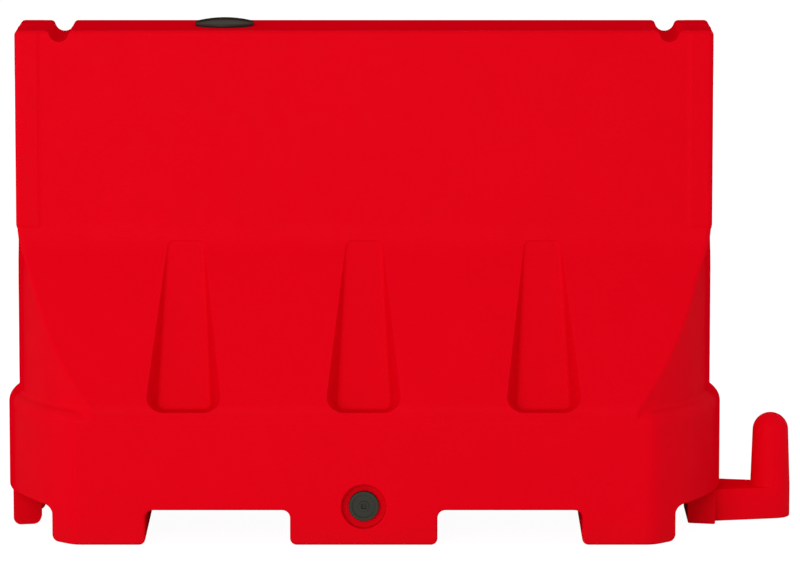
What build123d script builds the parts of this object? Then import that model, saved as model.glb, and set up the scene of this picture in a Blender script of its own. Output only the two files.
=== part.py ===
from build123d import *
import os
from math import atan2, copysign, cos, sqrt, tan

# Water-filled plastic road barrier: a hollow moulded shell on three feet, with a screw-in filler cap on
# top, a screw-in drain plug low on the front, and a bolted arm whose upright pin takes the next barrier.
# Millimetres. +X runs along the barrier to the arm, -Y is the front, +Z is up, and the origin is on
# the ground under the middle of the shell.

# Driving dimensions of the shell
HALF_LENGTH = 547.5
WIDTH = 480
HEIGHT = 762
SKIN = 5
BOW_RADIUS = 315.5
PLINTH_TOP = 204
PLINTH_TOP_RADIUS = 20
PLINTH_CORNER_RADIUS = 30
RIM_RADIUS = 4
LEDGE = 16
LEDGE_COVE_RADIUS = 8
CREASE_Z = 207
CREASE_RADIUS = 30
WALL_FOOT_Z = 445
WALL_FOOT_RADIUS = 80
WALL_THICKNESS = 170
WALL_HALF_LENGTH = 528.7
WALL_END_SAG = 0.5
WALL_CORNER_RADIUS = 8
WALL_TOP_RADIUS = 7
BOW_FADE_Z = 400
FRONT_OVERLAP = 0.2
BURIED = 40
CREASE_STEPS = 3
SPLAY_STEPS = 5
WALL_FOOT_STEPS = 6
CUT_PAST_END = 20

# Driving dimensions of the raised post at each end of the upper wall
POST_WIDTH = 39
POST_RISE = 1.5
POST_END_RISE = 1
POST_BOTTOM = 460
POST_RAMP = 6

# Driving dimensions of the feet, the fork slots and the left-hand coupling channel
UNDERSIDE_Z = 53
MIDDLE_FOOT_HALF = 111
OUTER_FOOT_START = 329
OUTER_FOOT_END = 471
SLOT_CEILING_RADIUS = 12
FOOT_CORNER_RADIUS = 10
ARCH_RADIUS = 12.5
CHEEK_START = 496
CHEEK_END = 538
CHEEK_CORNER_RADIUS = 12
CHEEK_HALF_INNER = 66
CHEEK_HALF_OUTER = 76
CHANNEL_HALF = 50
SOCKET_X = -474
SOCKET_RADIUS = 32.5
SOCKET_TOP = 176

# Driving dimensions of the flutes in the splayed faces and of the grooves across the top
FLUTE_SPACING = 271
FLUTE_TOP_Z = 441
FLUTE_BOTTOM_Z = 199
FLUTE_TOP_DEPTH = 3
FLUTE_DEPTH = 48
FLUTE_TOP_WIDTH = 54
FLUTE_BOTTOM_WIDTH = 80.2
FLUTE_SIDE_SLOPE = 20
FLUTE_CORNER_RADIUS = 10
FLUTE_FLOOR_RADIUS = 6
GROOVE_X = 462.2
GROOVE_RADIUS = 15
GROOVE_DEPTH = 17
GROOVE_LIP_RADIUS = 8

# Driving dimensions of the filler: neck, gasket and cap, on the axis of the filler
FILLER_X = -213.5
FILLER_PITCH = 6
NECK_RADIUS = 43
NECK_BORE_RADIUS = 39
NECK_TIP_RADIUS = 37.2
NECK_LENGTH = 32
NECK_FLANGE_RADIUS = 52
NECK_FLANGE_THICKNESS = 5
NECK_THREAD_TURNS = 3
FILLER_GASKET_INNER = 40
FILLER_GASKET_OUTER = 44
FILLER_GASKET_THICKNESS = 2.5
CAP_RADIUS = 45
CAP_RIM_HEIGHT = 3.5
CAP_DOME_HEIGHT = 5.5
CAP_DOME_EDGE = 1
CAP_SHANK_RADIUS = 36.4
CAP_TIP_RADIUS = 38.4
CAP_HOLLOW_RADIUS = 32
CAP_SHANK_LENGTH = 20.5
CAP_THREAD_START = 746
CAP_THREAD_TURNS = 2
CAP_KEY_RADIUS = 4
CAP_KEY_SPREAD = 26
CAP_KEY_DEPTH = 6

# Driving dimensions of the drain: recess, bush, gasket and plug, measured outward from the recess floor
DRAIN_Z = 58.5
DRAIN_RECESS_RADIUS = 33.5
DRAIN_RECESS_DEPTH = 14
DRAIN_RECESS_LIP = 2.5
DRAIN_PITCH = 4
BUSH_RADIUS = 20
BUSH_BORE_RADIUS = 16
BUSH_TIP_RADIUS = 14.6
BUSH_LENGTH = 22
BUSH_FLANGE_RADIUS = 27
BUSH_FLANGE_THICKNESS = 4
BUSH_THREAD_TURNS = 4
DRAIN_GASKET_INNER = 16.8
DRAIN_GASKET_OUTER = 22
DRAIN_GASKET_THICKNESS = 2
PLUG_RADIUS = 22.8
PLUG_HEAD_HEIGHT = 7
PLUG_SHANK_RADIUS = 14
PLUG_TIP_RADIUS = 15.4
PLUG_SHANK_LENGTH = 18
PLUG_THREAD_START = -14
PLUG_THREAD_TURNS = 2.5
PLUG_DISH_OUTER = 18
PLUG_DISH_INNER = 7.5
PLUG_DISH_DEPTH = 2.5
PLUG_KEY_WIDTH = 8
PLUG_KEY_DEPTH = 4
PLUG_EDGE_RADIUS = 1.5

# Driving dimensions of the thread ridges, which have a wide root and a narrow crest. The fixed thread
# starts a turn and a half deeper than the moving one, so that one ridge lies midway between the other's.
RIDGE_ROOT_WIDTH = 2.4
RIDGE_CREST_WIDTH = 1.2
RIDGE_EMBED = 0.5
FIXED_THREAD_LEAD = 1.5

# Driving dimensions of the coupling arm and its fixings
ARM_BOTTOM = 1
ARM_TOP = 50
ARM_ROOT_BOTTOM = 0.5
ARM_ROOT_START = 496.5
ARM_ROOT_HALF = 52
ARM_EDGE_RADIUS = 2
ROOT_EDGE_RADIUS = 3
PIN_X = 626.3
PIN_BASE_RADIUS = 30.5
PIN_TOP_RADIUS = 27.5
PIN_TOP = 162.5
BOLT_X = 518.5
BOLT_Y = 26
BOLT_RADIUS = 5
BOLT_HOLE_RADIUS = 5.5
BOLT_HEAD_FLATS = 17
BOLT_HEAD_HEIGHT = 6.4
BOLT_END = 80
COUNTERBORE_RADIUS = 12.5
COUNTERBORE_TOP = 14
WASHER_RADIUS = 11
WASHER_THICKNESS = 2
INSERT_RADIUS = 8
INSERT_BORE_RADIUS = 5.15
INSERT_LENGTH = 30
INSERT_BOSS_RADIUS = 14

# Derived sizes
HALF_WIDTH = WIDTH / 2
BOW_CENTRE_X = HALF_LENGTH - BOW_RADIUS
BODY_BOW_RADIUS = BOW_RADIUS - LEDGE
HALF_WALL = WALL_THICKNESS / 2
HALF_CREASE = HALF_WIDTH - FRONT_OVERLAP
SPLAY_RUN = HALF_CREASE - HALF_WALL
SPLAY_RISE = WALL_FOOT_Z - CREASE_Z
SPLAY_ANGLE = atan2(SPLAY_RUN, SPLAY_RISE)
SPLAY_SLOPE = SPLAY_RUN / SPLAY_RISE
CREASE_TANGENT = CREASE_RADIUS * tan(SPLAY_ANGLE / 2)
WALL_TANGENT = WALL_FOOT_RADIUS * tan(SPLAY_ANGLE / 2)
CREASE_START_Z = CREASE_Z - CREASE_TANGENT
SPLAY_START_Z = CREASE_Z + CREASE_TANGENT * cos(SPLAY_ANGLE)
SPLAY_END_Z = WALL_FOOT_Z - WALL_TANGENT * cos(SPLAY_ANGLE)
WALL_START_Z = WALL_FOOT_Z + WALL_TANGENT
BEYOND = HALF_LENGTH + CUT_PAST_END
DRAIN_PLANE = Plane(
    origin=(0, -HALF_WIDTH + DRAIN_RECESS_DEPTH, DRAIN_Z), x_dir=(1, 0, 0), z_dir=(0, -1, 0)
)
FILLER_AXIS = Pos(FILLER_X, 0, 0)
BOLT_PLACES = [Pos(BOLT_X, side * BOLT_Y, 0) for side in (-1, 1)]


def half_depth(z):
    """Half the shell's depth at height z: plinth, rounded crease, splay, rounded wall foot, wall."""
    if z <= CREASE_START_Z:
        return HALF_CREASE
    if z < SPLAY_START_Z:
        return HALF_CREASE - CREASE_RADIUS + sqrt(CREASE_RADIUS**2 - (z - CREASE_START_Z) ** 2)
    if z <= SPLAY_END_Z:
        return HALF_WALL + SPLAY_SLOPE * (WALL_FOOT_Z - z)
    if z < WALL_START_Z:
        return HALF_WALL + WALL_FOOT_RADIUS - sqrt(WALL_FOOT_RADIUS**2 - (WALL_START_Z - z) ** 2)
    return HALF_WALL


def bow_x(radius, y):
    """X of the bowed end at a distance y from the centre plane."""
    return BOW_CENTRE_X + sqrt(radius**2 - y**2)


def bowed_plan(edge_x, apex, half_y, corner_radius):
    """Plan outline with straight long sides, arched ends and rounded corners."""
    outline = [
        Line((-edge_x, -half_y), (edge_x, -half_y)),
        ThreePointArc((edge_x, -half_y), (apex, 0), (edge_x, half_y)),
        Line((edge_x, half_y), (-edge_x, half_y)),
        ThreePointArc((-edge_x, half_y), (-apex, 0), (-edge_x, -half_y)),
    ]
    face = make_face(outline)
    return fillet(face.vertices(), corner_radius)


def body_section(z, inset):
    """Plan of the body at height z: bowed ends on the splay, which fade to flat ends on the wall."""
    fade = min(max((z - BOW_FADE_Z) / (WALL_START_Z - BOW_FADE_Z), 0), 1)
    fade = fade**2 * (3 - 2 * fade)
    half_y = half_depth(z)
    bowed_edge = bow_x(BODY_BOW_RADIUS, half_y)
    bowed_apex = BOW_CENTRE_X + BODY_BOW_RADIUS
    edge = bowed_edge + fade * (WALL_HALF_LENGTH - WALL_END_SAG - bowed_edge)
    apex = bowed_apex + fade * (WALL_HALF_LENGTH - bowed_apex)
    plan = bowed_plan(edge - inset, apex - inset, half_y - inset, WALL_CORNER_RADIUS - inset)
    return Pos(0, 0, z) * plan


def body_zone(bottom, top, steps, inset):
    """Stretch of the body between two heights."""
    heights = [bottom + (top - bottom) * step / steps for step in range(steps + 1)]
    return loft([body_section(z, inset) for z in heights])


def body(inset):
    """Upper wall and splay down to inside the plinth, with every face moved in by inset."""
    buried = extrude(body_section(CREASE_START_Z, inset), BURIED, dir=(0, 0, -1))
    crease = body_zone(CREASE_START_Z, SPLAY_START_Z, CREASE_STEPS, inset)
    splay = body_zone(SPLAY_START_Z, SPLAY_END_Z, SPLAY_STEPS, inset)
    wall_foot = body_zone(SPLAY_END_Z, WALL_START_Z, WALL_FOOT_STEPS, inset)
    wall = extrude(body_section(WALL_START_Z, inset), HEIGHT - inset - WALL_START_Z)
    wall = fillet(wall.faces().sort_by(Axis.Z)[-1].edges(), WALL_TOP_RADIUS - inset)
    return buried + crease + splay + wall_foot + wall


def plinth(inset):
    """Base block down to the ground, before the slots are cut, with every face moved in by inset."""
    radius = BOW_RADIUS - inset
    half_y = HALF_WIDTH - inset
    plan = bowed_plan(
        bow_x(radius, half_y), BOW_CENTRE_X + radius, half_y, PLINTH_CORNER_RADIUS - inset
    )
    block = Pos(0, 0, inset) * extrude(plan, PLINTH_TOP - 2 * inset)
    return fillet(block.faces().sort_by(Axis.Z)[-1].edges(), PLINTH_TOP_RADIUS - inset)


def post_plan(rise, end_rise):
    """Plan of one end post: flush with the wall on its inner side, then raised over a short ramp."""
    inner = WALL_HALF_LENGTH + POST_END_RISE - POST_WIDTH
    outer = WALL_HALF_LENGTH + end_rise
    half_y = HALF_WALL + rise
    corners = [
        (inner, -HALF_WALL),
        (inner + POST_RAMP, -half_y),
        (outer, -half_y),
        (outer, half_y),
        (inner + POST_RAMP, half_y),
        (inner, HALF_WALL),
    ]
    plan = make_face(Polyline(corners, close=True))
    return fillet(plan.vertices().group_by(Axis.X)[-1], WALL_CORNER_RADIUS)


def end_posts():
    """Slightly raised band round each end of the upper wall, which fades out at its foot."""
    plan = post_plan(POST_RISE, POST_END_RISE)
    ramp_top = POST_BOTTOM + POST_RAMP
    ramp = loft([Pos(0, 0, POST_BOTTOM) * post_plan(0, 0), Pos(0, 0, ramp_top) * plan])
    post = Pos(0, 0, ramp_top) * extrude(plan, HEIGHT - ramp_top)
    top_edges = post.faces().sort_by(Axis.Z)[-1].edges().sort_by(Axis.X)
    post = fillet(top_edges[1:], WALL_TOP_RADIUS) + ramp
    return post + mirror(post, about=Plane.YZ)


def fork_slot(grow):
    """Slot between the middle foot and an outer foot, with rounded ceiling and foot corners."""
    low = -FOOT_CORNER_RADIUS
    start = MIDDLE_FOOT_HALF - grow
    end = OUTER_FOOT_START + grow
    top = UNDERSIDE_Z + grow
    slot = Pos((start + end) / 2, 0) * Rectangle(end - start, 2 * top)
    slot = fillet(slot.vertices().group_by(Axis.Y)[-1], SLOT_CEILING_RADIUS)
    mouth = Pos((start + end) / 2, low) * Rectangle(
        end - start + 2 * FOOT_CORNER_RADIUS, 4 * FOOT_CORNER_RADIUS
    )
    for x, side in ((start, -1), (end, 1)):
        mouth -= Pos(x + side * FOOT_CORNER_RADIUS, FOOT_CORNER_RADIUS) * Circle(FOOT_CORNER_RADIUS)
    return extrude(Plane.XZ * (slot + mouth), WIDTH, both=True)


def end_relief(grow):
    """Space under the plinth's end, from the outer foot outward, with a quarter-round at the foot."""
    start = OUTER_FOOT_END - grow
    top = UNDERSIDE_Z + grow
    relief = Pos((start + BEYOND) / 2, 0) * Rectangle(BEYOND - start, 2 * top)
    foot_side = relief.vertices().group_by(Axis.X)[0].sort_by(Axis.Y)[-1]
    relief = fillet(foot_side, ARCH_RADIUS)
    mouth = Pos(start, -FOOT_CORNER_RADIUS) * Rectangle(2 * FOOT_CORNER_RADIUS, 4 * FOOT_CORNER_RADIUS)
    mouth -= Pos(start - FOOT_CORNER_RADIUS, FOOT_CORNER_RADIUS) * Circle(FOOT_CORNER_RADIUS)
    return extrude(Plane.XZ * (relief + mouth), WIDTH, both=True)


def coupling_pocket(grow):
    """Room for the next barrier's arm under the left end: a channel with a round inner end."""
    half = CHANNEL_HALF + grow
    channel = Pos(SOCKET_X, 0) * Circle(half)
    channel += Pos((SOCKET_X - BEYOND) / 2, 0) * Rectangle(BEYOND + SOCKET_X, 2 * half)
    return extrude(channel, UNDERSIDE_Z + grow)


def cheeks():
    """Two legs beside the left-hand channel, with the far half of the arch on their inner side."""
    outline = Pos((CHEEK_START + CHEEK_END) / 2, UNDERSIDE_Z / 2) * Rectangle(
        CHEEK_END - CHEEK_START, UNDERSIDE_Z
    )
    outline = fillet(outline.vertices().group_by(Axis.Y)[0], CHEEK_CORNER_RADIUS)
    arch = Pos(CHEEK_START - ARCH_RADIUS / 2, UNDERSIDE_Z - ARCH_RADIUS / 2) * Rectangle(
        ARCH_RADIUS, ARCH_RADIUS
    )
    arch -= Pos(CHEEK_START - ARCH_RADIUS, UNDERSIDE_Z - ARCH_RADIUS) * Circle(ARCH_RADIUS)
    root = Pos((CHEEK_START + CHEEK_END) / 2, UNDERSIDE_Z) * Rectangle(CHEEK_END - CHEEK_START, 2 * SKIN)
    legs = extrude(Plane.XZ * (outline + arch + root), CHEEK_HALF_OUTER, both=True)
    legs &= extrude(root_plan(), 2 * UNDERSIDE_Z)
    return mirror(legs, about=Plane.YZ)


def root_plan():
    """Plan of the block under an end: a little wider toward the end of the barrier."""
    inner_x = CHEEK_START - ARCH_RADIUS
    slope = (CHEEK_HALF_OUTER - CHEEK_HALF_INNER) / (CHEEK_END - CHEEK_START)
    inner_half = CHEEK_HALF_INNER - slope * ARCH_RADIUS
    corners = [
        (inner_x, -inner_half),
        (CHEEK_END, -CHEEK_HALF_OUTER),
        (CHEEK_END, CHEEK_HALF_OUTER),
        (inner_x, inner_half),
    ]
    return make_face(Polyline(corners, close=True))


def flute(grow):
    """Tool for one flute on the front: its floor is shallow at the top and sinks in downward."""
    top_y = -half_depth(FLUTE_TOP_Z) + FLUTE_TOP_DEPTH
    bottom_y = -half_depth(FLUTE_BOTTOM_Z) + FLUTE_DEPTH
    length = sqrt((top_y - bottom_y) ** 2 + (FLUTE_TOP_Z - FLUTE_BOTTOM_Z) ** 2)
    up = Vector(0, top_y - bottom_y, FLUTE_TOP_Z - FLUTE_BOTTOM_Z).normalized()
    outward = Vector(1, 0, 0).cross(up)
    floor = Plane(origin=(0, bottom_y, FLUTE_BOTTOM_Z), x_dir=(1, 0, 0), z_dir=outward)
    corners = [
        (-FLUTE_BOTTOM_WIDTH / 2, 0),
        (FLUTE_BOTTOM_WIDTH / 2, 0),
        (FLUTE_TOP_WIDTH / 2, length),
        (-FLUTE_TOP_WIDTH / 2, length),
    ]
    outline = make_face(Polyline(corners, close=True))
    outline = fillet(outline.vertices(), FLUTE_CORNER_RADIUS)
    if grow:
        outline = offset(outline, grow)
    tool = extrude(floor.offset(-grow) * outline, 2 * FLUTE_DEPTH, taper=-FLUTE_SIDE_SLOPE)
    floor_face = tool.faces().sort_by_distance(floor.offset(-grow).from_local_coords((0, length / 2, 0)))[0]
    return fillet(floor_face.edges(), FLUTE_FLOOR_RADIUS)


def flutes(grow):
    """Three flutes on the front and three on the back."""
    front = [Pos(step * FLUTE_SPACING, 0, 0) * flute(grow) for step in (-1, 0, 1)]
    back = [mirror(tool, about=Plane.XZ) for tool in front]
    return front + back


def top_groove(grow):
    """Round-bottomed groove across the top, whose lips round over into the top face."""
    centre_z = HEIGHT - GROOVE_DEPTH + GROOVE_RADIUS
    lip_z = HEIGHT - GROOVE_LIP_RADIUS
    reach = GROOVE_RADIUS + GROOVE_LIP_RADIUS
    half_mouth = sqrt(reach**2 - (centre_z - lip_z) ** 2)
    meeting_z = centre_z - (centre_z - lip_z) * GROOVE_RADIUS / reach
    mouth = Pos(GROOVE_X, HEIGHT) * Rectangle(2 * half_mouth, 2 * (HEIGHT - meeting_z))
    for side in (-1, 1):
        mouth -= Pos(GROOVE_X + side * half_mouth, lip_z) * Circle(GROOVE_LIP_RADIUS)
    outline = mouth + Pos(GROOVE_X, centre_z) * Circle(GROOVE_RADIUS + grow)
    groove = extrude(Plane.XZ * outline, WIDTH, both=True)
    return groove + mirror(groove, about=Plane.YZ)


def both_ends(tool):
    """A tool and its mirror image at the other end of the barrier."""
    return [tool, mirror(tool, about=Plane.YZ)]


def lower_rim(base):
    """Edges where the outer side faces of the base meet the feet, slots and underside."""
    sides = [face for face in base.faces() if face.bounding_box().size.Z > PLINTH_TOP / 2]
    edges = ShapeList()
    for face in sides:
        edges += face.outer_wire().edges().filter_by_position(Axis.Z, 0, UNDERSIDE_Z)
    return edges


def ledge_creases(shell):
    """Two long inner edges where the ends of the body rise out of the plinth's rounded shoulder."""
    shoulder = shell.edges().filter_by_position(Axis.Z, PLINTH_TOP - PLINTH_TOP_RADIUS, PLINTH_TOP)
    return shoulder.filter_by(GeomType.BSPLINE).sort_by(SortBy.LENGTH)[-2:]


def drain_recess():
    """Tool for the round recess that the drain plug sits in, with a rounded lip."""
    flared = DRAIN_RECESS_RADIUS + DRAIN_RECESS_LIP
    lip_start = DRAIN_RECESS_DEPTH - DRAIN_RECESS_LIP
    outside = DRAIN_RECESS_DEPTH + SKIN
    profile = make_face(
        [
            Line((0, 0), (DRAIN_RECESS_RADIUS, 0)),
            Line((DRAIN_RECESS_RADIUS, 0), (DRAIN_RECESS_RADIUS, lip_start)),
            CenterArc((flared, lip_start), DRAIN_RECESS_LIP, 90, 90),
            Line((flared, DRAIN_RECESS_DEPTH), (flared, outside)),
            Line((flared, outside), (0, outside)),
            Line((0, outside), (0, 0)),
        ]
    )
    return DRAIN_PLANE * revolve(Plane.XZ * profile, Axis.Z)


def cavity():
    """Water space inside the shell, one skin inside every outer face."""
    space = body(SKIN) + plinth(SKIN)
    for tool in both_ends(fork_slot(SKIN)) + both_ends(end_relief(SKIN)):
        space -= tool
    space -= coupling_pocket(SKIN)
    space -= Pos(SOCKET_X, 0, 0) * Cylinder(
        SOCKET_RADIUS + SKIN, SOCKET_TOP + SKIN, align=(Align.CENTER, Align.CENTER, Align.MIN)
    )
    for place in BOLT_PLACES:
        space -= place * Cylinder(
            INSERT_BOSS_RADIUS,
            UNDERSIDE_Z + INSERT_LENGTH + SKIN,
            align=(Align.CENTER, Align.CENTER, Align.MIN),
        )
    for tool in flutes(SKIN):
        space -= tool
    space -= top_groove(SKIN)
    recess_depth = DRAIN_RECESS_DEPTH + SKIN
    space -= DRAIN_PLANE * Pos(0, 0, -SKIN) * Cylinder(
        DRAIN_RECESS_RADIUS + SKIN, recess_depth, align=(Align.CENTER, Align.CENTER, Align.MIN)
    )
    return space


def barrier_shell():
    """One-piece hollow moulding."""
    base = plinth(0)
    for tool in both_ends(fork_slot(0)) + both_ends(end_relief(0)):
        base -= tool
    base = fillet(lower_rim(base), RIM_RADIUS)
    shell = body(0) + base
    shell = fillet(ledge_creases(shell), LEDGE_COVE_RADIUS)
    shell += end_posts()
    shell += cheeks()
    shell -= coupling_pocket(0)
    for tool in flutes(0):
        shell -= tool
    shell -= top_groove(0)
    shell -= drain_recess()
    shell -= cavity()
    upward = (Align.CENTER, Align.CENTER, Align.MIN)
    shell -= Pos(SOCKET_X, 0, 0) * Cylinder(SOCKET_RADIUS, SOCKET_TOP, align=upward)
    shell -= FILLER_AXIS * Pos(0, 0, HEIGHT - 2 * SKIN) * Cylinder(NECK_RADIUS, 3 * SKIN, align=upward)
    shell -= DRAIN_PLANE * Pos(0, 0, -2 * SKIN) * Cylinder(BUSH_RADIUS, 3 * SKIN, align=upward)
    for place in BOLT_PLACES:
        shell -= place * Cylinder(INSERT_RADIUS, UNDERSIDE_Z + INSERT_LENGTH, align=upward)
    return shell


def thread_ridge(root_radius, tip_radius, pitch, start, turns):
    """Helical ridge on the Z axis, right-handed, from a root radius outward or inward to its crest."""
    helix = Helix(pitch, pitch * turns, root_radius, center=(0, 0, start))
    rise = tip_radius - root_radius
    embed = copysign(RIDGE_EMBED, rise)
    corners = [
        (-embed, -RIDGE_ROOT_WIDTH / 2),
        (rise, -RIDGE_CREST_WIDTH / 2),
        (rise, RIDGE_CREST_WIDTH / 2),
        (-embed, RIDGE_ROOT_WIDTH / 2),
    ]
    across = Plane(origin=helix @ 0, x_dir=(1, 0, 0), z_dir=helix % 0)
    profile = across * make_face(Polyline(corners, close=True))
    return sweep(profile, path=helix, is_frenet=True)


def tube(outer_radius, inner_radius, bottom, top):
    """Plain ring on the Z axis between two heights."""
    ring = Circle(outer_radius) - Circle(inner_radius)
    return Pos(0, 0, bottom) * extrude(ring, top - bottom)


def filler_neck():
    """Threaded ring moulded into the top, with a flange under the skin."""
    under_skin = HEIGHT - SKIN
    neck = tube(NECK_RADIUS, NECK_BORE_RADIUS, HEIGHT - NECK_LENGTH, HEIGHT)
    neck += tube(NECK_FLANGE_RADIUS, NECK_BORE_RADIUS, under_skin - NECK_FLANGE_THICKNESS, under_skin)
    start = CAP_THREAD_START - FIXED_THREAD_LEAD * FILLER_PITCH
    neck += thread_ridge(NECK_BORE_RADIUS, NECK_TIP_RADIUS, FILLER_PITCH, start, NECK_THREAD_TURNS)
    return FILLER_AXIS * neck


def filler_gasket():
    """Flat rubber ring squeezed under the cap's rim."""
    ring = tube(FILLER_GASKET_OUTER, FILLER_GASKET_INNER, HEIGHT, HEIGHT + FILLER_GASKET_THICKNESS)
    return FILLER_AXIS * ring


def filler_cap():
    """Screw-in cap: a low dome with two holes for a pin key, over a hollow threaded shank."""
    seat = HEIGHT + FILLER_GASKET_THICKNESS
    rim_top = seat + CAP_RIM_HEIGHT
    dome_top = rim_top + CAP_DOME_HEIGHT
    dome_edge = CAP_RADIUS - CAP_DOME_EDGE
    dome_radius = (dome_edge**2 + CAP_DOME_HEIGHT**2) / (2 * CAP_DOME_HEIGHT)
    half_way = dome_edge / 2
    half_way_z = dome_top - dome_radius + sqrt(dome_radius**2 - half_way**2)
    profile = make_face(
        [
            Line((0, seat), (CAP_RADIUS, seat)),
            Line((CAP_RADIUS, seat), (CAP_RADIUS, rim_top - CAP_DOME_EDGE)),
            Line((CAP_RADIUS, rim_top - CAP_DOME_EDGE), (dome_edge, rim_top)),
            ThreePointArc((dome_edge, rim_top), (half_way, half_way_z), (0, dome_top)),
            Line((0, dome_top), (0, seat)),
        ]
    )
    cap = revolve(Plane.XZ * profile, Axis.Z)
    cap += tube(CAP_SHANK_RADIUS, CAP_HOLLOW_RADIUS, seat - CAP_SHANK_LENGTH, seat)
    cap += thread_ridge(
        CAP_SHANK_RADIUS, CAP_TIP_RADIUS, FILLER_PITCH, CAP_THREAD_START, CAP_THREAD_TURNS
    )
    for side in (-1, 1):
        place = Pos(side * CAP_KEY_SPREAD, 0, dome_top - CAP_KEY_DEPTH)
        cap -= place * extrude(Circle(CAP_KEY_RADIUS), CAP_KEY_DEPTH)
    return FILLER_AXIS * cap


def drain_bush():
    """Threaded ring moulded into the recess floor, with a flange behind the skin."""
    bush = tube(BUSH_RADIUS, BUSH_BORE_RADIUS, -BUSH_LENGTH, 0)
    bush += tube(BUSH_FLANGE_RADIUS, BUSH_BORE_RADIUS, -SKIN - BUSH_FLANGE_THICKNESS, -SKIN)
    start = PLUG_THREAD_START - FIXED_THREAD_LEAD * DRAIN_PITCH
    bush += thread_ridge(BUSH_BORE_RADIUS, BUSH_TIP_RADIUS, DRAIN_PITCH, start, BUSH_THREAD_TURNS)
    return DRAIN_PLANE * bush


def drain_gasket():
    """Flat rubber ring squeezed under the plug's head."""
    return DRAIN_PLANE * tube(DRAIN_GASKET_OUTER, DRAIN_GASKET_INNER, 0, DRAIN_GASKET_THICKNESS)


def drain_plug():
    """Screw-in plug: a round head with a dished face and a square key hole, on a threaded shank."""
    seat = DRAIN_GASKET_THICKNESS
    face = seat + PLUG_HEAD_HEIGHT
    plug = Pos(0, 0, seat) * extrude(Circle(PLUG_RADIUS), PLUG_HEAD_HEIGHT)
    plug = fillet(plug.edges().sort_by(Axis.Z)[-1], PLUG_EDGE_RADIUS)
    plug -= tube(PLUG_DISH_OUTER, PLUG_DISH_INNER, face - PLUG_DISH_DEPTH, face)
    key = Rectangle(PLUG_KEY_WIDTH, PLUG_KEY_WIDTH)
    plug -= Pos(0, 0, face - PLUG_KEY_DEPTH) * extrude(key, PLUG_KEY_DEPTH)
    plug += Pos(0, 0, seat - PLUG_SHANK_LENGTH) * extrude(Circle(PLUG_SHANK_RADIUS), PLUG_SHANK_LENGTH)
    plug += thread_ridge(
        PLUG_SHANK_RADIUS, PLUG_TIP_RADIUS, DRAIN_PITCH, PLUG_THREAD_START, PLUG_THREAD_TURNS
    )
    return DRAIN_PLANE * plug


def coupling_arm():
    """Solid arm: a root block bolted up under the right end, a tapered beam and an upright pin."""
    block_plan = root_plan() & Pos((ARM_ROOT_START + CHEEK_END) / 2, 0) * Rectangle(
        CHEEK_END - ARM_ROOT_START, 2 * CHEEK_HALF_OUTER
    )
    block = Pos(0, 0, ARM_ROOT_BOTTOM) * extrude(block_plan, UNDERSIDE_Z - ARM_ROOT_BOTTOM)
    block = fillet(block.edges().group_by(Axis.Z)[0], ROOT_EDGE_RADIUS)
    root_line = Line((CHEEK_END - SKIN, -ARM_ROOT_HALF), (CHEEK_END - SKIN, ARM_ROOT_HALF))
    end_circle = (Pos(PIN_X, 0) * Circle(PIN_BASE_RADIUS)).edges()
    beam = Pos(0, 0, ARM_BOTTOM) * extrude(make_hull(end_circle + [root_line]), ARM_TOP - ARM_BOTTOM)
    beam = fillet(beam.edges().group_by(Axis.Z)[0] + beam.edges().group_by(Axis.Z)[-1], ARM_EDGE_RADIUS)
    dome_z = PIN_TOP - PIN_TOP_RADIUS
    foot_z = ARM_TOP - SKIN
    pin_profile = make_face(
        [
            Line((0, foot_z), (PIN_BASE_RADIUS, foot_z)),
            Line((PIN_BASE_RADIUS, foot_z), (PIN_BASE_RADIUS, ARM_TOP)),
            Line((PIN_BASE_RADIUS, ARM_TOP), (PIN_TOP_RADIUS, dome_z)),
            CenterArc((0, dome_z), PIN_TOP_RADIUS, 0, 90),
            Line((0, PIN_TOP), (0, foot_z)),
        ]
    )
    arm = block + beam + Pos(PIN_X, 0, 0) * revolve(Plane.XZ * pin_profile, Axis.Z)
    upward = (Align.CENTER, Align.CENTER, Align.MIN)
    for place in BOLT_PLACES:
        arm -= place * Cylinder(BOLT_HOLE_RADIUS, UNDERSIDE_Z, align=upward)
        arm -= place * Cylinder(COUNTERBORE_RADIUS, COUNTERBORE_TOP, align=upward)
    return arm


def arm_bolts():
    """Two hexagon bolts, driven up from below."""
    head_top = COUNTERBORE_TOP - WASHER_THICKNESS
    head = RegularPolygon(BOLT_HEAD_FLATS / 2, 6, major_radius=False)
    bolt = Pos(0, 0, head_top - BOLT_HEAD_HEIGHT) * extrude(head, BOLT_HEAD_HEIGHT)
    bolt += Pos(0, 0, head_top) * extrude(Circle(BOLT_RADIUS), BOLT_END - head_top)
    return Compound([place * bolt for place in BOLT_PLACES])


def arm_washers():
    """Flat washers over the bolt heads."""
    washer = tube(WASHER_RADIUS, BOLT_HOLE_RADIUS, COUNTERBORE_TOP - WASHER_THICKNESS, COUNTERBORE_TOP)
    return Compound([place * washer for place in BOLT_PLACES])


def arm_inserts():
    """Threaded sleeves moulded into the shell's bosses."""
    sleeve = tube(INSERT_RADIUS, INSERT_BORE_RADIUS, UNDERSIDE_Z, UNDERSIDE_Z + INSERT_LENGTH)
    return Compound([place * sleeve for place in BOLT_PLACES])


PIECES = {
    "barrier_shell": barrier_shell,
    "filler_neck": filler_neck,
    "filler_gasket": filler_gasket,
    "filler_cap": filler_cap,
    "drain_bush": drain_bush,
    "drain_gasket": drain_gasket,
    "drain_plug": drain_plug,
    "coupling_arm": coupling_arm,
    "arm_bolts": arm_bolts,
    "arm_washers": arm_washers,
    "arm_inserts": arm_inserts,
}

os.makedirs("parts", exist_ok=True)
for name, make in PIECES.items():
    export_step(make(), f"parts/{name}.step")
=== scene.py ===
import math

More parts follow.
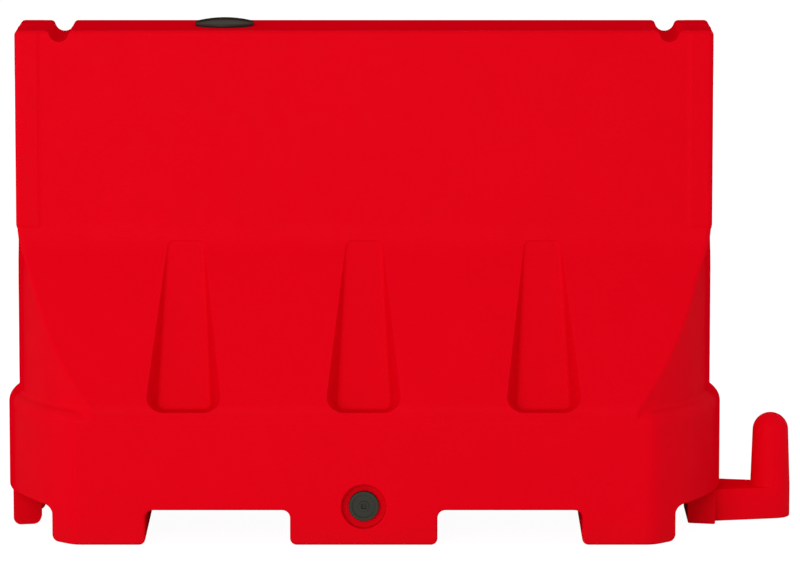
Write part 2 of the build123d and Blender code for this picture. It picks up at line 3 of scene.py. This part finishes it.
import bmesh
import bpy
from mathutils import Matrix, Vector


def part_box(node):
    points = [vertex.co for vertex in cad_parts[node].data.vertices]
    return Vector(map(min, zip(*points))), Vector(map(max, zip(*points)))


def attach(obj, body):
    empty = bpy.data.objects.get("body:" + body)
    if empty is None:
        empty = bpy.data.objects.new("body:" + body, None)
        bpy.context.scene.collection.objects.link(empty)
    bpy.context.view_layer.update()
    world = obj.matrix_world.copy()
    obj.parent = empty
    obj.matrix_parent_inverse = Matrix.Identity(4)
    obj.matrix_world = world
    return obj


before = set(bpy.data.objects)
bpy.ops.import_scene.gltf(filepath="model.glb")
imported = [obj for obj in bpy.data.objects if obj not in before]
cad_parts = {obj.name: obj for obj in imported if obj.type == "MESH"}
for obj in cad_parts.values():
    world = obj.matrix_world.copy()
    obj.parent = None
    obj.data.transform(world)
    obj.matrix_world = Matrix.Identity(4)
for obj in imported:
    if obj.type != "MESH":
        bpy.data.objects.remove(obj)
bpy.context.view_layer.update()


# Barrier shell: one hollow skin of red polyethylene, moulded in a heated, turning two-part mould.
# The cast mould leaves a satin face with a faint orange peel. The big panels cool a little wavy.
# It stands on its own feet and carries every other piece.

def linear(hex_colour):
    """An sRGB hex colour as linear red, green, blue and alpha."""
    channels = [int(hex_colour[start:start + 2], 16) / 255 for start in (1, 3, 5)]
    return [c / 12.92 if c <= 0.04045 else ((c + 0.055) / 1.055) ** 2.4 for c in channels] + [1.0]


def add_node(tree, kind, settings=None, links=None):
    """Adds a node. A setting is a property or an input's value, and a link feeds an input."""
    node = tree.nodes.new(kind)
    for name, value in (settings or {}).items():
        if isinstance(name, str) and hasattr(node, name):
            setattr(node, name, value)
        else:
            node.inputs[name].default_value = value
    for name, source in (links or {}).items():
        tree.links.new(source, node.inputs[name])
    return node


def per_metre(millimetres):
    """Texture scale whose features are about that many millimetres across."""
    return 1000 / millimetres


def new_material(name, ior=1.5, metallic=0.0):
    """A new material, with its node tree, its surface shader and its Object coordinates."""
    material = bpy.data.materials.new(name)
    material.use_nodes = True
    tree = material.node_tree
    surface = tree.nodes["Principled BSDF"]
    surface.inputs["IOR"].default_value = ior
    surface.inputs["Metallic"].default_value = metallic
    place = add_node(tree, "ShaderNodeTexCoord").outputs["Object"]
    return material, tree, surface, place


GLOSS_FADE_START = 0.3
GLOSS_FADE_END = 0.8


def glancing_gloss(tree, surface, level):
    """Fades the gloss of a finely rough plastic where it is seen at a glancing angle."""
    tilt = add_node(tree, "ShaderNodeLayerWeight")
    shine = add_node(tree, "ShaderNodeMapRange",
                     {"From Min": GLOSS_FADE_START, "From Max": GLOSS_FADE_END,
                      "To Min": level, "To Max": 0.0},
                     {"Value": tilt.outputs["Facing"]})
    tree.links.new(shine.outputs["Result"], surface.inputs["Specular IOR Level"])


def dress(material, *names):
    """Gives carried-over pieces their finish."""
    for name in names:
        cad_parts[name].material_slots[0].material = material


# The colour sockets of a mix node: its two inputs and its result.
MIX_FIRST, MIX_SECOND, MIX_RESULT = 6, 7, 2

# Patterns are in millimetres across. Depths and the height of the dust are in metres.
POLYETHYLENE_IOR = 1.51
POLYETHYLENE_GLOSS = 0.02
PIGMENT_CLOUD = 70
SCUFF_HAZE = 24
HAZE_LOW, HAZE_HIGH = 0.3, 0.7
SATIN_SMOOTH, SATIN_ROUGH = 0.50, 0.62
ORANGE_PEEL = 3.5
PEEL_DEPTH = 0.0003
PANEL_WAVE = 190
PANEL_DEPTH = 0.0015
ROAD_DUST_HEIGHT = 0.045
ROAD_DUST_SHARE = 0.3


def moulded_polyethylene(name, bright, deep, dusty):
    """Polyethylene: satin, clouded by its pigment, with orange peel, and dusty near the road."""
    material, tree, surface, place = new_material(name, POLYETHYLENE_IOR)
    glancing_gloss(tree, surface, POLYETHYLENE_GLOSS)
    cloud = add_node(tree, "ShaderNodeTexNoise",
                     {"Scale": per_metre(PIGMENT_CLOUD), "Detail": 5.0}, {"Vector": place})
    tone = add_node(tree, "ShaderNodeMix",
                    {"data_type": "RGBA", MIX_FIRST: linear(deep), MIX_SECOND: linear(bright)},
                    {0: cloud.outputs["Fac"]})
    height = add_node(tree, "ShaderNodeSeparateXYZ", None, {"Vector": place})
    low = add_node(tree, "ShaderNodeMapRange",
                   {"From Min": 0.0, "From Max": ROAD_DUST_HEIGHT,
                    "To Min": ROAD_DUST_SHARE, "To Max": 0.0},
                   {"Value": height.outputs["Z"]})
    haze = add_node(tree, "ShaderNodeTexNoise",
                    {"Scale": per_metre(SCUFF_HAZE), "Detail": 6.0, "Roughness": 0.6},
                    {"Vector": place})
    dust = add_node(tree, "ShaderNodeMath", {"operation": "MULTIPLY"},
                    {0: low.outputs["Result"], 1: haze.outputs["Fac"]})
    colour = add_node(tree, "ShaderNodeMix", {"data_type": "RGBA", MIX_SECOND: linear(dusty)},
                      {0: dust.outputs["Value"], MIX_FIRST: tone.outputs[MIX_RESULT]})
    satin = add_node(tree, "ShaderNodeMapRange",
                     {"From Min": HAZE_LOW, "From Max": HAZE_HIGH,
                      "To Min": SATIN_SMOOTH, "To Max": SATIN_ROUGH},
                     {"Value": haze.outputs["Fac"]})
    wave = add_node(tree, "ShaderNodeTexNoise",
                    {"Scale": per_metre(PANEL_WAVE), "Detail": 1.0}, {"Vector": place})
    panel = add_node(tree, "ShaderNodeBump", {"Strength": 0.35, "Distance": PANEL_DEPTH},
                     {"Height": wave.outputs["Fac"]})
    peel = add_node(tree, "ShaderNodeTexNoise",
                    {"Scale": per_metre(ORANGE_PEEL), "Detail": 2.0}, {"Vector": place})
    skin = add_node(tree, "ShaderNodeBump", {"Strength": 0.25, "Distance": PEEL_DEPTH},
                    {"Height": peel.outputs["Fac"], "Normal": panel.outputs["Normal"]})
    tree.links.new(colour.outputs[MIX_RESULT], surface.inputs["Base Color"])
    tree.links.new(satin.outputs["Result"], surface.inputs["Roughness"])
    tree.links.new(skin.outputs["Normal"], surface.inputs["Normal"])
    return material


shell_red = moulded_polyethylene("moulded_red_polyethylene", "#E50016", "#DF0014", "#BC1418")
dress(shell_red, "barrier_shell")


# Parting line: the fine bead that the joint of the two mould halves leaves over ends and top.
# It is the shell's own plastic, trimmed close, and follows the shell's outline in its middle plane.
# It stops at the filler's rim and at the ledge of the base.

BEAD_RADIUS = 0.0005
BEAD_SIDES = 8
LEDGE_TOP = 0.206
FILLER_HOLE_DEPTH = 0.05
WELD_DISTANCE = 1e-6
filler_low, filler_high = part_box("filler_gasket")

section = bmesh.new()
section.from_mesh(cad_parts["barrier_shell"].data)
bmesh.ops.remove_doubles(section, verts=section.verts, dist=WELD_DISTANCE)
whole_shell = section.verts[:] + section.edges[:] + section.faces[:]
cut = bmesh.ops.bisect_plane(section, geom=whole_shell, plane_co=(0, 0, 0),
                             plane_no=(0, 1, 0))["geom_cut"]


def clear_of_filler(edge):
    """Whether a cut edge is outside the hole for the filler."""
    return all(not filler_low[0] <= corner.co.x <= filler_high[0]
               or corner.co.z < filler_low[2] - FILLER_HOLE_DEPTH
               for corner in edge.verts)


rim = [edge for edge in cut if isinstance(edge, bmesh.types.BMEdge) and clear_of_filler(edge)]
not_followed = set(rim)
outside = []
waiting = [max((corner for edge in rim for corner in edge.verts), key=lambda corner: corner.co.x)]
while waiting:
    corner = waiting.pop()
    for edge in corner.link_edges:
        if edge in not_followed:
            not_followed.remove(edge)
            outside.append(edge)
            waiting.append(edge.other_vert(corner))
line_edges = [edge for edge in outside if min(corner.co.z for corner in edge.verts) > LEDGE_TOP]
line_corners = list(dict.fromkeys(corner for edge in line_edges for corner in edge.verts))
order = {corner: number for number, corner in enumerate(line_corners)}
line_mesh = bpy.data.meshes.new("parting_line_path")
line_mesh.from_pydata([tuple(corner.co) for corner in line_corners],
                      [tuple(order[corner] for corner in edge.verts) for edge in line_edges], [])
section.free()

bead_tree = bpy.data.node_groups.new("parting_bead", "GeometryNodeTree")
bead_tree.interface.new_socket("Geometry", in_out="INPUT", socket_type="NodeSocketGeometry")
radius_input = bead_tree.interface.new_socket("Radius", in_out="INPUT",
                                              socket_type="NodeSocketFloat")
bead_tree.interface.new_socket("Geometry", in_out="OUTPUT", socket_type="NodeSocketGeometry")
given = add_node(bead_tree, "NodeGroupInput")
path = add_node(bead_tree, "GeometryNodeMeshToCurve", None, {"Mesh": given.outputs["Geometry"]})
ring = add_node(bead_tree, "GeometryNodeCurvePrimitiveCircle", {"Resolution": BEAD_SIDES},
                {"Radius": given.outputs["Radius"]})
bead = add_node(bead_tree, "GeometryNodeCurveToMesh", {"Fill Caps": True},
                {"Curve": path.outputs["Curve"], "Profile Curve": ring.outputs["Curve"]})
solid = add_node(bead_tree, "GeometryNodeRealizeInstances", None,
                 {"Geometry": bead.outputs["Mesh"]})
coloured = add_node(bead_tree, "GeometryNodeSetMaterial", {"Material": shell_red},
                    {"Geometry": solid.outputs["Geometry"]})
add_node(bead_tree, "NodeGroupOutput", None, {"Geometry": coloured.outputs["Geometry"]})

drawn = bpy.data.objects.new("parting_line_path", line_mesh)
bpy.context.scene.collection.objects.link(drawn)
beading = drawn.modifiers.new("bead", "NODES")
beading.node_group = bead_tree
beading[radius_input.identifier] = BEAD_RADIUS
ready = drawn.evaluated_get(bpy.context.evaluated_depsgraph_get())
parting_line = bpy.data.objects.new("parting_line", bpy.data.meshes.new_from_object(ready))
bpy.data.objects.remove(drawn)
bpy.context.scene.collection.objects.link(parting_line)
for face in parting_line.data.polygons:
    face.use_smooth = True
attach(parting_line, "barrier")


# Coupling arm: a solid red polyethylene moulding with an upright pin, bolted under the right end.
# It is the same kind of plastic as the shell, but pressed. Its red is painted a shade brighter than
# the shell's, as painted light on the arm and pin.

# The brighter pair of reds is painted light: the shell's plastic made lighter so the arm and pin
# look more brightly lit.
arm_red_painted_light = moulded_polyethylene("pressed_red_polyethylene_painted_light", "#EC0017", "#E40015", "#C01418")
dress(arm_red_painted_light, "coupling_arm")


# Bolts and washers of the arm: zinc-plated steel, turned up from below into the shell.
# The plating is a pale satin grey with a patchy bloom from the plating bath.

ZINC_BLOOM = 4
ZINC_ROUGHNESS = (0.28, 0.46)


def patchy_finish(tree, surface, pattern, colours, roughness):
    """Lets a pattern run the colour and the roughness of a surface between two values each."""
    first, second = (linear(colour) for colour in colours)
    tint = add_node(tree, "ShaderNodeMix",
                    {"data_type": "RGBA", MIX_FIRST: first, MIX_SECOND: second}, {0: pattern})
    satin = add_node(tree, "ShaderNodeMapRange", {"To Min": roughness[0], "To Max": roughness[1]},
                     {"Value": pattern})
    tree.links.new(tint.outputs[MIX_RESULT], surface.inputs["Base Color"])
    tree.links.new(satin.outputs["Result"], surface.inputs["Roughness"])


zinc, tree, surface, place = new_material("zinc_plated_steel", metallic=1.0)
bloom = add_node(tree, "ShaderNodeTexNoise",
                 {"Scale": per_metre(ZINC_BLOOM), "Detail": 4.0}, {"Vector": place})
patchy_finish(tree, surface, bloom.outputs["Fac"], ("#AEB3B8", "#CCCFCE"), ZINC_ROUGHNESS)
dress(zinc, "arm_bolts", "arm_washers")


# Inserts: turned brass sleeves moulded into the shell's bosses, where the arm's bolts hold.
# Fine turning marks run round each sleeve.

TURNING_MARK = 0.6
BRASS_ROUGHNESS = (0.24, 0.36)
# A wave texture of scale 1 has one wave in this many metres.
WAVE_LENGTH = math.tau / 20
brass, tree, surface, place = new_material("turned_brass", metallic=1.0)
marks = add_node(tree, "ShaderNodeTexWave",
                 {"bands_direction": "Z", "Scale": WAVE_LENGTH * per_metre(TURNING_MARK),
                  "Distortion": 0.4},
                 {"Vector": place})
patchy_finish(tree, surface, marks.outputs["Fac"], ("#B58B3E", "#D4AE62"), BRASS_ROUGHNESS)
dress(brass, "arm_inserts")


# Filler neck and drain bush: black nylon rings with a moulded thread.
# They are set in the mould before the shell is cast, so the shell holds them without a fastener.
# The plastic is close to black, satin, with a fine eroded grain.

FITTING_GRAIN = 1.2
FITTING_ROUGHNESS = 0.45
BLACK_GLOSS = 0.2
BLOOM_PER_GRAIN = 14
ROUGHNESS_SPREAD = 0.08
PIT_DEPTH = 0.0002


def moulded_black(name, light, dark, roughness, grain):
    """Black plastic or rubber with a fine grain and a slight bloom."""
    material, tree, surface, place = new_material(name)
    glancing_gloss(tree, surface, BLACK_GLOSS)
    bloom = add_node(tree, "ShaderNodeTexNoise",
                     {"Scale": per_metre(BLOOM_PER_GRAIN * grain), "Detail": 4.0},
                     {"Vector": place})
    patchy_finish(tree, surface, bloom.outputs["Fac"], (dark, light),
                  (roughness - ROUGHNESS_SPREAD, roughness + ROUGHNESS_SPREAD))
    pits = add_node(tree, "ShaderNodeTexNoise", {"Scale": per_metre(grain), "Detail": 2.0},
                    {"Vector": place})
    relief = add_node(tree, "ShaderNodeBump", {"Strength": 0.3, "Distance": PIT_DEPTH},
                      {"Height": pits.outputs["Fac"]})
    tree.links.new(relief.outputs["Normal"], surface.inputs["Normal"])
    return material


nylon = moulded_black("black_nylon", "#222324", "#18191A", FITTING_ROUGHNESS, FITTING_GRAIN)
dress(nylon, "filler_neck", "drain_bush")


# Gaskets: flat rings cut from black rubber sheet, squeezed under the cap and under the plug.
# The sheet is dull, with a fine grain.

RUBBER_GRAIN = 0.8
RUBBER_ROUGHNESS = 0.78
rubber = moulded_black("black_sheet_rubber", "#1E1E1E", "#141414", RUBBER_ROUGHNESS, RUBBER_GRAIN)
dress(rubber, "filler_gasket", "drain_gasket")


# Filler cap: a low black dome that screws into the neck, moulded in polyethylene.
# The dome has weathered to a warm charcoal.

CAP_GRAIN = 1.6
CAP_ROUGHNESS = 0.5
cap_black = moulded_black("weathered_black_polyethylene", "#332C23", "#2A241C",
                          CAP_ROUGHNESS, CAP_GRAIN)
dress(cap_black, "filler_cap")


# Drain plug: a round black plug that screws into the bush, turned with a square key.
# Its dished face has a slightly green charcoal tone.

PLUG_GRAIN = 1.2
PLUG_ROUGHNESS = 0.48
plug_black = moulded_black("charcoal_nylon", "#2F3227", "#25271E", PLUG_ROUGHNESS, PLUG_GRAIN)
dress(plug_black, "drain_plug")


# Studio: a white paper floor without an edge, large soft lamps, and even light from all round.
# The paper glows where it is seen, so it looks white but still keeps a trace of the shadow.
# The camera stands where the barrier is seen from the front and a little from above.

FLOOR_HALF = 40
PAPER_GLOW = 1.12
PAPER_GLOW_SHARE = 0.86
floor_mesh = bpy.data.meshes.new("studio_floor")
floor_mesh.from_pydata([(-FLOOR_HALF, -FLOOR_HALF, 0), (FLOOR_HALF, -FLOOR_HALF, 0),
                        (FLOOR_HALF, FLOOR_HALF, 0), (-FLOOR_HALF, FLOOR_HALF, 0)],
                       [], [(0, 1, 2, 3)])
floor = bpy.data.objects.new("studio_floor", floor_mesh)
bpy.context.scene.collection.objects.link(floor)


def seen_backdrop(tree):
    """1 for rays that see the backdrop, also in a reflection or through glass, and 0 for others."""
    rays = add_node(tree, "ShaderNodeLightPath")
    seen = add_node(tree, "ShaderNodeMath", {"operation": "ADD"},
                    {0: rays.outputs["Is Camera Ray"], 1: rays.outputs["Is Glossy Ray"]})
    seen = add_node(tree, "ShaderNodeMath", {"operation": "ADD", "use_clamp": True},
                    {0: seen.outputs["Value"], 1: rays.outputs["Is Transmission Ray"]})
    return seen.outputs["Value"]


paper, tree, surface, _ = new_material("white_studio_paper")
surface.inputs["Base Color"].default_value = linear("#E6E6E6")
surface.inputs["Specular IOR Level"].default_value = 0.0
surface.inputs["Roughness"].default_value = 0.9
share = add_node(tree, "ShaderNodeMath", {"operation": "MULTIPLY", 1: PAPER_GLOW_SHARE},
                 {0: seen_backdrop(tree)})
glow = add_node(tree, "ShaderNodeEmission", {"Color": (1, 1, 1, 1), "Strength": PAPER_GLOW})
mixed = add_node(tree, "ShaderNodeMixShader", None,
                 {0: share.outputs["Value"], 1: surface.outputs["BSDF"],
                  2: glow.outputs["Emission"]})
tree.links.new(mixed.outputs["Shader"], tree.nodes["Material Output"].inputs["Surface"])
floor_mesh.materials.append(paper)

AMBIENT = 0.61
world = bpy.data.worlds.new("studio")
bpy.context.scene.world = world
world.use_nodes = True
tree = world.node_tree
ambient = tree.nodes["Background"]
ambient.inputs["Color"].default_value = (1, 1, 1, 1)
ambient.inputs["Strength"].default_value = AMBIENT
backdrop = add_node(tree, "ShaderNodeBackground", {"Color": (1, 1, 1, 1), "Strength": 1.0})
mixed = add_node(tree, "ShaderNodeMixShader", None,
                 {0: seen_backdrop(tree), 1: ambient.outputs["Background"],
                  2: backdrop.outputs["Background"]})
tree.links.new(mixed.outputs["Shader"], tree.nodes["World Output"].inputs["Surface"])

# Each lamp has its turn to the left of the front, in degrees, and its power, in watts.
# Only the front lamp gives highlights.
LAMPS = (("front_lamp", 15, 137), ("left_lamp", 85, 42),
         ("right_lamp", -90, 26), ("rear_lamp", 180, 80))
LAMP_AIM = Vector((0, 0, 0.38))
LAMP_DISTANCE = 6
LAMP_SIZE = 3
LAMP_RISE = math.radians(11)
for name, degrees_left, power in LAMPS:
    around = math.radians(degrees_left)
    toward = Vector((-math.sin(around) * math.cos(LAMP_RISE),
                     -math.cos(around) * math.cos(LAMP_RISE),
                     math.sin(LAMP_RISE)))
    lamp = bpy.data.lights.new(name, "AREA")
    lamp.size = LAMP_SIZE
    lamp.energy = power
    lamp_place = bpy.data.objects.new(name, lamp)
    lamp_place.location = LAMP_AIM + LAMP_DISTANCE * toward
    lamp_place.rotation_euler = (-toward).to_track_quat("-Z", "Y").to_euler()
    lamp_place.visible_camera = False
    lamp_place.visible_glossy = name == "front_lamp"
    bpy.context.scene.collection.objects.link(lamp_place)

SENSOR_WIDTH = 36
IMAGE_WIDTH = 800
FOCAL_PIXELS = 5773.92
CAMERA_PITCH = 8.4524
CAMERA_PLACE = (0.05457, -8.78492, 1.66146)
CAMERA_REACH = 100
camera = bpy.data.cameras.new("front_view")
camera.sensor_width = SENSOR_WIDTH
camera.lens = FOCAL_PIXELS / IMAGE_WIDTH * SENSOR_WIDTH
camera.clip_end = CAMERA_REACH
camera_place = bpy.data.objects.new("front_view", camera)
camera_place.location = CAMERA_PLACE
camera_place.rotation_euler = (math.radians(90 - CAMERA_PITCH), 0, 0)
bpy.context.scene.collection.objects.link(camera_place)
bpy.context.scene.camera = camera_place
bpy.context.scene.view_settings.view_transform = "Standard"
